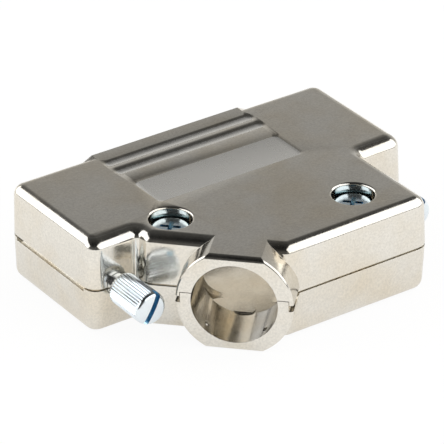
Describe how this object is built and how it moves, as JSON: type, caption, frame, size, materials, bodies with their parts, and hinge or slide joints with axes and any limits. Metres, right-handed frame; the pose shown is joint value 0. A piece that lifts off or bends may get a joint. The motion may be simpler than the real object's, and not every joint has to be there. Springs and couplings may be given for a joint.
{
  "type": "d-sub hood",
  "caption": "Metal hood for a D-sub connector: half shells, an angled cable entry with a round collar, housing screws, and captive knurled thumbscrews.",
  "frame": {"origin": "in the connector face, midway between the two jackscrew threads, at half the hood's thickness", "axes": "+X along the connector, +Y out of the connector face, +Z out of the upper shell; the cable leaves towards -X -Y"},
  "size_m": [0.0558, 0.0453, 0.0154],
  "materials": {
    "nickel": "satin nickel plate on a zinc die casting",
    "zinc": "bright blue zinc plate on turned steel"
  },
  "bodies": {
    "hood": {"upper_shell": "nickel", "lower_shell": "nickel", "housing_screw_left": "zinc", "housing_screw_right": "zinc"},
    "left_thumbscrew": {"thumbscrew_left": "zinc"},
    "right_thumbscrew": {"thumbscrew_right": "zinc"}
  },
  "joints": [
    {"name": "left_thumbscrew_turn", "type": "hinge", "parent": "hood", "child": "left_thumbscrew", "pos_m": [-0.02352, 0, 0], "axis": [0, 1, 0], "continuous": true},
    {"name": "right_thumbscrew_turn", "type": "hinge", "parent": "hood", "child": "right_thumbscrew", "pos_m": [0.02352, 0, 0], "axis": [0, 1, 0], "continuous": true}
  ]
}
